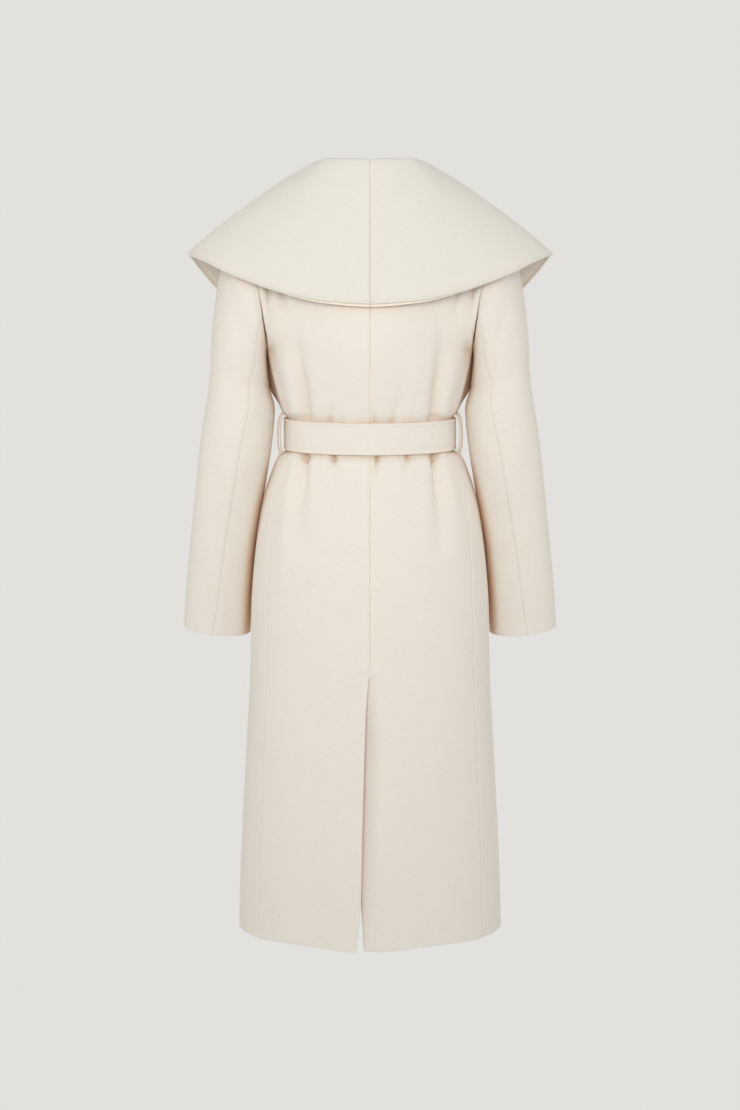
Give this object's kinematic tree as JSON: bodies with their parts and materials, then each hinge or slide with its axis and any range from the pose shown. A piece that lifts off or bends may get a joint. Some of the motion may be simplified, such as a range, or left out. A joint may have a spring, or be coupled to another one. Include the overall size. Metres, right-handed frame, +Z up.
{
  "type": "wrap coat",
  "caption": "Long wrap coat filled out as if worn: cape-wide shawl collar, slim two-piece sleeves, tie belt in side loops, centre-back hem vent, open neck, cuffs and hem.",
  "frame": {"origin": "centre of the wearer's neck at the height of the nape, where the coat hangs from neck and shoulders", "axes": "+Z up, the coat's front faces -Y, +X is the wearer's left"},
  "size_m": [0.581, 0.2958, 1.1922],
  "materials": {
    "cloth": "brushed cream coating wool, matte, very fine horizontal nap",
    "collar_cloth": "the same brushed wool, a slightly yellower cream, two layers with a rolled edge"
  },
  "bodies": {
    "root": {"back_left": "cloth", "back_right": "cloth", "front_left": "cloth", "front_right": "cloth", "sleeve_upper_left": "cloth", "sleeve_under_left": "cloth", "sleeve_upper_right": "cloth", "sleeve_under_right": "cloth", "collar_upper_left": "collar_cloth", "collar_upper_right": "collar_cloth", "collar_under_left": "collar_cloth", "collar_under_right": "collar_cloth", "belt": "cloth", "belt_knot": "cloth", "belt_tail_left": "cloth", "belt_tail_right": "cloth", "belt_loop_left": "cloth", "belt_loop_right": "cloth"}
  },
  "joints": []
}
